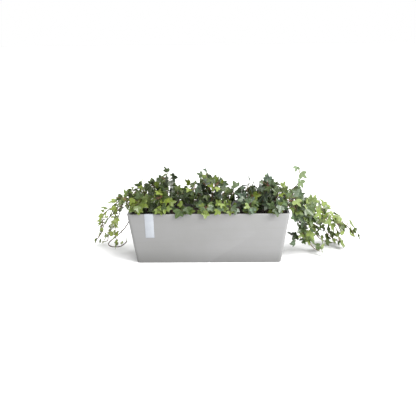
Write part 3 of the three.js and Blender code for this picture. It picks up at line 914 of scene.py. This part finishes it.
def flat_leaf(outline):
    """A leaf of length 1 on a flat sheet, with rounded lobes."""
    sheet = bmesh.new()
    half = [sheet.verts.new((u, v, 0)) for u, v in ((0, 0), *outline, (1, 0))]
    for a, b in zip(half[1:], half[2:]):
        sheet.faces.new((half[0], b, a))
    everything = sheet.verts[:] + sheet.edges[:] + sheet.faces[:]
    bmesh.ops.mirror(sheet, geom=everything, axis="Y", merge_dist=0.001)
    sheet.normal_update()
    bmesh.ops.reverse_faces(sheet, faces=[f for f in sheet.faces if f.normal.z < 0])
    corners = {spot(p) for p in sheet.verts}
    bmesh.ops.subdivide_edges(sheet, edges=sheet.edges, cuts=1, use_grid_fill=True)
    for p in [p for p in sheet.verts if p.is_boundary and spot(p) not in corners]:
        a, b = (e.other_vert(p).co.copy() for e in p.link_edges if e.is_boundary)
        outwards = Vector((b.y - a.y, a.x - b.x, 0))
        if outwards.dot(p.co - Vector((0.2, math.copysign(0.2, p.co.y), 0))) < 0:
            outwards.negate()
        p.co += outwards * LOBE_ROUNDING
    return sheet


print("outline points of half a large leaf:", len(half_outline(40, 0.5)))

# %% One leaf blade
FINE_BLADE = 0.6  # a blade's thickness
RIPPLE = 0.5


def grow_blade(bm, leaf, look):
    measures, looks = (bm.verts.layers.float_vector[name] for name in ("leaf", "look"))
    sheet = flat_leaf(half_outline(leaf["length"], leaf["cut"]))
    places = {}
    for p in sheet.verts:
        u, v = p.co.x, p.co.y
        ripple = RIPPLE * math.sin(9 * u + 4 * leaf["cut"]) * math.sin(8 * abs(v))
        places[p] = bm.verts.new(blade_point(leaf, u, v, ripple))
        places[p][measures], places[p][looks] = (u, v, 0), look
    faces = [bm.faces.new([places[p] for p in f.verts]) for f in sheet.faces]
    sheet.free()
    for face in faces:
        face.normal_update()
    made = bmesh.ops.solidify(bm, geom=faces, thickness=FINE_BLADE)["geom"]
    for p in only(made, bmesh.types.BMVert):
        p[measures] = (*p[measures][:2], 1)


def only(made, kind):
    """What an operator made, of one kind."""
    return [part for part in made if isinstance(part, kind)]


print("a blade is", FINE_BLADE, "mm thick")

# %% [markdown]
# A stem is a round tube along a curve. A curve object with a bevel would do it too. A ring that is
# extruded from point to point gives the same tube as a mesh, which keeps its own measures. Leaf
# stalks are made in the same way, with fewer sides.


# %% One stem or leaf stalk
def grow_tube(bm, points, radii, sides, tones):
    looks = bm.verts.layers.float_vector["look"]
    points = [Vector(p) for p in points]
    heading = (points[1] - points[0]).normalized()
    turned = heading.to_track_quat("Z", "Y")
    stand = Matrix.LocRotScale(points[0], turned, Vector((radii[0],) * 3))
    circle = bmesh.ops.create_circle(bm, cap_ends=True, radius=1, segments=sides, matrix=stand)
    ring = circle["verts"]
    for p in ring:
        p[looks] = (tones[0], 0, 0)
    for i in range(1, len(points)):
        ahead = (points[min(i + 1, len(points) - 1)] - points[i - 1]).normalized()
        turned = heading.rotation_difference(ahead) @ turned
        heading = ahead
        step = Matrix.LocRotScale(points[i], turned, Vector((radii[i],) * 3))
        around = {e for p in ring for e in p.link_edges if e.other_vert(p) in ring}
        edges = [e for e in around if len(e.link_faces) == 1]
        made = bmesh.ops.extrude_edge_only(bm, edges=edges)["geom"]
        ring = only(made, bmesh.types.BMVert)
        bmesh.ops.transform(bm, matrix=step @ stand.inverted(), verts=ring)
        stand = step
        for p in ring:
            p[looks] = (tones[i], 0, 0)
    last = [e for e in only(made, bmesh.types.BMEdge) if all(p in ring for p in e.verts)]
    bmesh.ops.contextual_create(bm, geom=last)


print("stem radius:", STEM_RADIUS, "mm")

# %% [markdown]
# Where a leaf grows decides its look. The leaves at the far left and far right get the most light,
# so they are the youngest and freshest. Those in between are old, dark and clouded with grey,
# partly marbling and partly a painted reflection of their gloss. Those deep in a mound are painted
# darker still, as painted shade. Chance does the rest, so that neighbours differ.

# %% Where a leaf grows
MOUND_DEPTH = 60  # how far from its plant's heart a leaf is at the outside of the mound
CLOUDED_BELOW = 0.68  # a fresher leaf than this has no grey-green clouds


def nearest_place(points, start):
    """The place on a line of points that is nearest to start."""
    best = None
    for a, b in zip(points, points[1:]):
        way = b - a
        share = clamp(dot(start - a, way) / dot(way, way))
        spot = a + way * share
        if best is None or math.dist(spot, start) < math.dist(best, start):
            best = spot
    return best


def light_at(place):
    """How young the leaves are, along the tub: fresh at the far left and right, old in between."""
    places = (-280, -225, -120, -20, 60, 110, 310, 420)
    return float(np.interp(place[0], places, (1, 0.7, 0.44, 0.42, 0.42, 0.24, 0.3, 0.9)))


def marbling_and_painted_sheen_at(place):
    """How much of the grey-green clouding the leaves have, partly marbling and partly a painted
    reflection of their gloss: most from the middle to the right.
    """
    return float(np.interp(place[0], (-150, 20, 300, 400), (0.3, 1, 1, 0.4)))


def look_of(stem, leaf, draw):
    """How young a leaf looks, painted darker deep in a mound as painted shade, and how clouded."""
    # Painted shade: a leaf deep in a mound is painted darker, the deeper the darker.
    depth = 0
    if stem["kind"] == "mound":
        depth = clamp(1 - math.dist(leaf["base"][:2], stem["heart"]) / MOUND_DEPTH)
    outside = 0.14 - 0.5 * depth
    chance = between(draw, -0.45, 0.45)
    tone = clamp(light_at(leaf["base"]) + 0.22 * leaf["young"] + outside + chance)
    # The grey-green clouding is partly marbling and partly a painted reflection of the gloss.
    grey_marbling_and_painted_sheen = clamp(CLOUDED_BELOW - tone) * draw() * marbling_and_painted_sheen_at(leaf["base"])
    return (tone, grey_marbling_and_painted_sheen, 0)


print("youth at the left end:", light_at((-280,)), "and in the middle:", light_at((0,)))


# %% A whole leafy stem
def smooth_line(points, per_span):
    """More points on a curve that passes through the given ones."""
    line = [points[0]]
    for i in range(1, len(points)):
        a, b, c, d = neighbours(points, i)
        for t in (k / per_span for k in range(1, per_span + 1)):
            bend = (2 * a - 5 * b + 4 * c - d) * t * t + (3 * b - a - 3 * c + d) * t**3
            line.append(b + ((c - a) * t + bend) * 0.5)
    return line


STALK_RADII, STALK_TONES = [0.75, 0.6, 0.6, 0.35], [0.6, 0.8, 1, 1]
LEAF_CREASE = 0.95


def grow_stem(stem):
    bm = bmesh.new()
    bm.verts.layers.float_vector.new("leaf")
    bm.verts.layers.float_vector.new("look")
    root_x = int(abs(stem["points"][0][0]))
    draw = stream(7 + 13 * len(stem["name"]) + root_x + len(stem["leaves"]))
    line = smooth_line(stem["points"], 3 if stem["kind"] == "mound" else 2)
    shares = [i / (len(line) - 1) for i in range(len(line))]
    thin, green = (0.05, 0.3) if stem["kind"] == "bare" else (0.25, 1)
    radii = [STEM_RADIUS * (1 - thin * s) for s in shares]
    grow_tube(bm, line, radii, 6, [green * s for s in shares])
    for leaf in stem["leaves"]:
        foot = nearest_place(line, leaf["start"])
        bow = leaf["normal"] * 0.4 - UP * 0.5
        middle = mix(foot, leaf["base"], 0.55) + bow
        inside = leaf["base"] + leaf["along"] * 0.8
        grow_tube(bm, [foot, middle, leaf["base"], inside], STALK_RADII, 4, STALK_TONES)
    for face in bm.faces:
        face.material_index = 1
    for leaf in stem["leaves"]:
        grow_blade(bm, leaf, look_of(stem, leaf, draw))
    soften(bm, LEAF_CREASE)
    name = stem["name"].replace("ivy_", "leafy_")
    materials = [LEAVES[stem["kind"]], STALKS]
    return make_piece(name, bm, materials, SLOTS[stem["kind"]], stem["name"])


leafy = [grow_stem(stem) for stem in stems]
print("leafy stems:", len(leafy), "faces:", sum(len(p.data.polygons) for p in leafy))

# %% [markdown]
# ## The tub
#
# The tub is moulded from a matt grey plastic that looks like stone. Its walls lean out, its
# corners are round and its edges soft. It starts as a block that is bevelled at its upright edges,
# inset at the top and pushed in, and all of it leans by one rule. The drain holes are cut out
# with cylinders and the notch with a block, because they cross faces that have no edges there.

# %% A block with round corners whose walls lean
def lean_in(verts):
    for p in verts:
        inset = LEAN * (HEIGHT - p.co.z)
        p.co.x -= math.copysign(inset, p.co.x)
        p.co.y -= math.copysign(inset, p.co.y)


def round_block(length, width, bottom, top, radius, segments):
    bm = bmesh.new()
    bmesh.ops.create_cube(bm, size=1)
    bmesh.ops.scale(bm, vec=(length, width, top - bottom), verts=bm.verts)
    bmesh.ops.translate(bm, vec=(0, 0, (top + bottom) / 2), verts=bm.verts)
    upright = [e for e in bm.edges if abs(e.verts[0].co.z - e.verts[1].co.z) > 1]
    bevel_edges(bm, upright, radius, segments)
    return bm


def bevel_edges(bm, edges, offset, segments):
    settings = {"affect": "EDGES", "profile": 0.5, "material": -1, "clamp_overlap": True}
    bmesh.ops.bevel(
        bm, geom=edges, offset=offset, offset_type="OFFSET", segments=segments, **settings
    )


def cut_away(bm, blocks):
    """Cuts blocks out of a shape with a Boolean modifier, and gives the shape back."""
    shapes = []
    for shape in (bm, *blocks):
        mesh = bpy.data.meshes.new("cutting")
        shape.to_mesh(mesh)
        shape.free()
        shapes.append(bpy.data.objects.new("cutting", mesh))
        bpy.context.scene.collection.objects.link(shapes[-1])
    for block in shapes[1:]:
        cut = shapes[0].modifiers.new("cut", "BOOLEAN")
        cut.operation, cut.object, cut.solver = "DIFFERENCE", block, "EXACT"
    result = bmesh.new()
    result.from_object(shapes[0], bpy.context.evaluated_depsgraph_get())
    for shape in shapes:
        bpy.data.meshes.remove(shape.data)
    return result


print("walls lean in by", round(LEAN * HEIGHT), "mm on the way down")

# %% [markdown]
# ## The finish of the tub
#
# The plastic is coloured all through, so its grey is even. It has faint level streaks and a fine
# grain. It is painted a little darker towards the foot, as painted shade. A picture could be
# wrapped round it. Noise in the object's own space has no seams at the corners, so it is used here,
# flattened for the streaks.

# %% The tub's finish
plastic = Finish("grey_matt_plastic", Roughness=0.62)
place = plastic.place()
flat = plastic.add("Mapping", None, {0: place, 3: (3, 3, 60)})
streaks = plastic.noise(flat, 1.6, 4, 0.6)
clouding = plastic.noise(place, 7, 3)
grain = plastic.noise(place, 900, 3, 0.7)
grey = plastic.mix(clouding.ramp(0.3, 0.7), paint(116, 116, 115), paint(120, 120, 120))
grey = plastic.mix(streaks.ramp(0.42, 0.68) * 0.3, grey, paint(114, 114, 112))
grey = plastic.mix(grain.ramp(0.52, 0.75) * 0.25, grey, paint(105, 105, 103))
# Painted shade: the lowest 60 mm of the tub darken towards the foot.
_, _, height = plastic.parts(place)
grey = plastic.mix(height.ramp(0.06, 0) * 0.4, grey, paint(86, 86, 84))
plastic.bump(grain * 0.6 + streaks * 0.4, 0.0003, 0.5)
GREY = plastic.feed(Base_Color=grey, Roughness=grain * 0.2 + 0.55)
print("tub finish:", GREY.name)

# %% Make the tub
tub = round_block(RIM_LENGTH, RIM_WIDTH, 0, HEIGHT, CORNER_RADIUS, 8)
mouth = [f for f in tub.faces if f.normal.z > 0.9]
bmesh.ops.inset_region(tub, faces=mouth, thickness=WALL, use_even_offset=True)
made = bmesh.ops.extrude_discrete_faces(tub, faces=mouth)["faces"]
bmesh.ops.translate(tub, vec=(0, 0, BASE_THICKNESS - HEIGHT), verts=made[0].verts)
lean_in(tub.verts)
tub.normal_update()


def level_edges(bm, z, outer):
    """The edges of one level loop: outside, or inside the walls."""
    found = []
    inset = LEAN * (HEIGHT - z) + WALL / 2
    for e in bm.edges:
        middle = (e.verts[0].co + e.verts[1].co) / 2
        level = all(abs(p.co.z - z) < 0.01 for p in e.verts)
        inside = abs(middle.x) < RIM_LENGTH / 2 - inset and abs(middle.y) < RIM_WIDTH / 2 - inset
        corner = e.is_manifold and e.calc_face_angle(0) > 0.5
        if level and corner and inside != outer:
            found.append(e)
    return found


rims = level_edges(tub, HEIGHT, True) + level_edges(tub, HEIGHT, False)
bevel_edges(tub, rims, EDGE_ROUND, 3)
bevel_edges(tub, level_edges(tub, 0, True), EDGE_ROUND, 3)
print("edges round the rim:", len(rims))

# %% [markdown]
# The holes and the notch let water out. Each is a simple shape that reaches well through the
# plastic, and they are all cut away at once.

# %% Cut the drain holes and the notch
cutters = []
for x in DRAIN_HOLE_XS:
    hole = bmesh.new()
    bore = {"radius1": DRAIN_HOLE_RADIUS, "radius2": DRAIN_HOLE_RADIUS, "depth": 3 * BASE_THICKNESS}
    bmesh.ops.create_cone(hole, cap_ends=True, segments=24, **bore)
    bmesh.ops.translate(hole, vec=(x, 0, 0), verts=hole.verts)
    cutters.append(hole)
notch = bmesh.new()
bmesh.ops.create_cube(notch, size=1)
notch_size = (NOTCH["width"], 2 * NOTCH["depth"], 2 * NOTCH["height"])
bmesh.ops.scale(notch, vec=notch_size, verts=notch.verts)
bmesh.ops.translate(notch, vec=(0, -RIM_WIDTH / 2 + LEAN * HEIGHT, 0), verts=notch.verts)
tub = cut_away(tub, [*cutters, notch])
soften(tub, 0.6)
tub_piece = make_piece("grey_tub", tub, [GREY], "box_grey", "window_box")
print("tub faces:", len(tub_piece.data.polygons))

# %% [markdown]
# ## The blank label
#
# A blank white strip of thin card with a smooth coat is hooked over the front rim. It could be
# bent from a flat sheet with a modifier. Here it starts as one edge across the strip, which is
# extruded round the rim along a bent path and then gets its thickness, so it follows the wall
# exactly.

# %% The label's finish
card = Finish("white_label", Roughness=0.38, Coat_Weight=0.25, Coat_Roughness=0.2)
place = card.place()
clouding = card.noise(place, 40, 2).ramp(0.4, 0.6)
tint = card.mix(clouding, paint(144, 148, 154), paint(148, 152, 158))
card.bump(card.noise(place, 500, 2), 0.0001, 0.4)
WHITE = card.feed(Base_Color=tint)
print("label finish:", WHITE.name)


# %% Make the label
def wall_y(z):
    """Where the outside of the front wall is at a height."""
    return -RIM_WIDTH / 2 + LEAN * (HEIGHT - z)


off = LABEL["gap"] + LABEL["thickness"] / 2
low, short = HEIGHT - LABEL["front"], HEIGHT - LABEL["back"]
halfway = low + LABEL["front"] / 2
bend, corner = 1.2, off * 0.6
rim = wall_y(HEIGHT)
route = [
    (wall_y(low) - off, low),
    (wall_y(halfway) - off, halfway),
    (wall_y(HEIGHT - bend) - off, HEIGHT - bend),
    (rim - corner, HEIGHT + corner),
    (rim + bend, HEIGHT + off),
    (rim + WALL - bend, HEIGHT + off),
    (rim + WALL + corner, HEIGHT + corner),
    (wall_y(HEIGHT - bend) + WALL + off, HEIGHT - bend),
    (wall_y(short) + WALL + off, short),
]
label = bmesh.new()
ends = [label.verts.new((LABEL["x"] + s * LABEL["width"] / 2, *route[0])) for s in (-1, 1)]
edge = label.edges.new(ends)
for (y0, z0), (y1, z1) in zip(route, route[1:]):
    made = bmesh.ops.extrude_edge_only(label, edges=[edge])["geom"]
    ends = only(made, bmesh.types.BMVert)
    bmesh.ops.translate(label, vec=(0, y1 - y0, z1 - z0), verts=ends)
    edge = next(e for e in only(made, bmesh.types.BMEdge) if all(p in ends for p in e.verts))
bmesh.ops.recalc_face_normals(label, faces=label.faces)
bmesh.ops.solidify(label, geom=label.faces[:], thickness=LABEL["thickness"])
bmesh.ops.recalc_face_normals(label, faces=label.faces)
label_corners = [e for e in label.edges if e.is_manifold and e.calc_face_angle(0) > 1.2]
bevel_edges(label, label_corners, 0.2, 2)
soften(label, 0.7)
label_piece = make_piece("blank_label", label, [WHITE], "label_white", "front_label")
print("label faces:", len(label_piece.data.polygons))

# %% [markdown]
# ## The soil
#
# Potting soil is dark, crumbly and uneven. It could be a heap of thousands of crumbs. A fine grid
# is lighter: it makes the surface, raised and lowered by two sizes of noise, and its edge is
# extruded down until it nearly meets the floor of the tub. The smallest crumbs are left to the
# bump of its finish.

# %% The soil's finish
earth = Finish("dark_potting_soil", Roughness=0.95)
place = earth.place()
crumbs = earth.noise(place, 260, 4, 0.7)
brown = earth.mix(crumbs.ramp(0.35, 0.65), paint(24, 18, 13), paint(58, 45, 34))
brown = earth.mix(earth.noise(place, 700, 2).ramp(0.62, 0.7) * 0.4, brown, paint(98, 84, 68))
earth.bump(crumbs, 0.003, 1)
BROWN = earth.feed(Base_Color=brown)
print("soil finish:", BROWN.name)

# %% Make the soil
LUMP, CRUMB = (3.2, 0.045), (1.6, 0.16)  # how high, and how close together
SETTLED, HIGHEST = 2.4, 2.2  # how far the surface has sunk, and how far a lump stands up from there
CORNER_TRIM = 1.6
soil = bmesh.new()
bmesh.ops.create_grid(soil, x_segments=120, y_segments=36, size=0.5)
room = WALL + SOIL_GAP
bmesh.ops.scale(soil, vec=(RIM_LENGTH - 2 * room, RIM_WIDTH - 2 * room, 1), verts=soil.verts)
for p in soil.verts:
    at_end = abs(p.co.x) > RIM_LENGTH / 2 - room - 0.1
    at_side = abs(p.co.y) > RIM_WIDTH / 2 - room - 0.1
    if at_end and at_side:
        p.co.x -= math.copysign(CORNER_TRIM, p.co.x)
        p.co.y -= math.copysign(CORNER_TRIM, p.co.y)
    level_place = Vector((p.co.x, p.co.y, 0))
    lumps = LUMP[0] * noise.noise(level_place * LUMP[1])
    lumps += CRUMB[0] * noise.noise(level_place * CRUMB[1])
    p.co.z = SOIL_TOP - SETTLED + min(HIGHEST, lumps)
around = [e for e in soil.edges if e.is_boundary]
made = bmesh.ops.extrude_edge_only(soil, edges=around)["geom"]
for p in only(made, bmesh.types.BMVert):
    p.co.z = BASE_THICKNESS + SOIL_GAP
lean_in(soil.verts)
bottom = [e for e in only(made, bmesh.types.BMEdge) if e.is_boundary]
bmesh.ops.contextual_create(soil, geom=bottom)
soften(soil)
soil_piece = make_piece("crumbly_soil", soil, [BROWN], "soil", "potting_soil")
print("soil faces:", len(soil_piece.data.polygons))

# %% [markdown]
# ## The floor, the light and the camera
#
# The studio is white: a wide pale floor and light from all round. A very wide sun shines from
# above, the right and the front, so the shadows are broad and faint, as under a large studio
# screen. A square lamp at the right brightens that end. The camera stands two metres away with a
# normal lens and looks down at 18 degrees. Its picture is shifted a little to frame the box.

# %% Floor
FLOOR_GREY = 0.66  # dark enough for soft shadows to show in all the light
ground = bmesh.new()
bmesh.ops.create_grid(ground, x_segments=1, y_segments=1, size=30)
floor_mesh = bpy.data.meshes.new("floor")
ground.to_mesh(floor_mesh)
ground.free()
floor = bpy.data.objects.new("floor", floor_mesh)
bpy.context.scene.collection.objects.link(floor)
pale = Finish("pale_floor", Base_Color=(FLOOR_GREY, FLOOR_GREY, FLOOR_GREY, 1), Roughness=0.9)
floor_mesh.materials.append(pale.material)
print("floor at", floor.location.z)

# %% Light
scene = bpy.context.scene
scene.view_settings.view_transform = "Standard"
world = bpy.data.worlds.new("white_studio")
world.use_nodes = True
sky = world.node_tree.nodes["Background"]
sky.inputs["Color"].default_value = (1, 1, 1, 1)
sky.inputs["Strength"].default_value = 1.0
scene.world = world
# For each lamp: its kind, its strength, how wide it is, where it stands and which way it shines.
lamps = {
    "sky_lamp": ("SUN", 5.0, math.radians(75), (0, 0, 3), (-0.42, 0.26, -1)),
    "side_lamp": ("AREA", 42, 0.9, (1.3, -0.9, 1.0), (-1.15, 0.85, -0.85)),
}
for name, (kind, energy, spread, spot, way) in lamps.items():
    lamp = bpy.data.lights.new(name, kind)
    lamp.energy = energy
    setattr(lamp, "angle" if kind == "SUN" else "size", spread)
    holder = bpy.data.objects.new(name, lamp)
    holder.location = spot
    holder.rotation_euler = Vector(way).to_track_quat("-Z", "Y").to_euler()
    scene.collection.objects.link(holder)
print("lamps:", len(lamps))

# %% Camera
PICTURE = 416  # the picture's width in pixels, in which focal, right and down are given
SENSOR = 36
AIM = Vector((0, 0, 0.15))
elevation, turn, roll = (math.radians(angle) for angle in (18.0, 1.101, -0.676))
distance, focal, right, down = 2.0, 569.0, 0.72, 7.97
level = math.cos(elevation)
back = Vector((math.sin(turn) * level, -math.cos(turn) * level, math.sin(elevation)))
camera_data = bpy.data.cameras.new("camera")
camera_data.sensor_fit, camera_data.sensor_width = "HORIZONTAL", SENSOR
camera_data.lens = focal / PICTURE * SENSOR
camera_data.shift_x, camera_data.shift_y = -right / PICTURE, down / PICTURE
camera_data.clip_end = 200
camera = bpy.data.objects.new("camera", camera_data)
look = (-back).to_track_quat("-Z", "Y").to_matrix() @ Matrix.Rotation(roll, 3, "Z")
camera.matrix_world = Matrix.Translation(AIM + back * distance) @ look.to_4x4()
scene.collection.objects.link(camera)
scene.camera = camera
print("camera at", [round(c, 3) for c in camera.location])

# %% Write down the sizes and finish
bpy.context.view_layer.update()
print("solids:", [round(c, 3) for c in (*cad_low, *cad_high)])
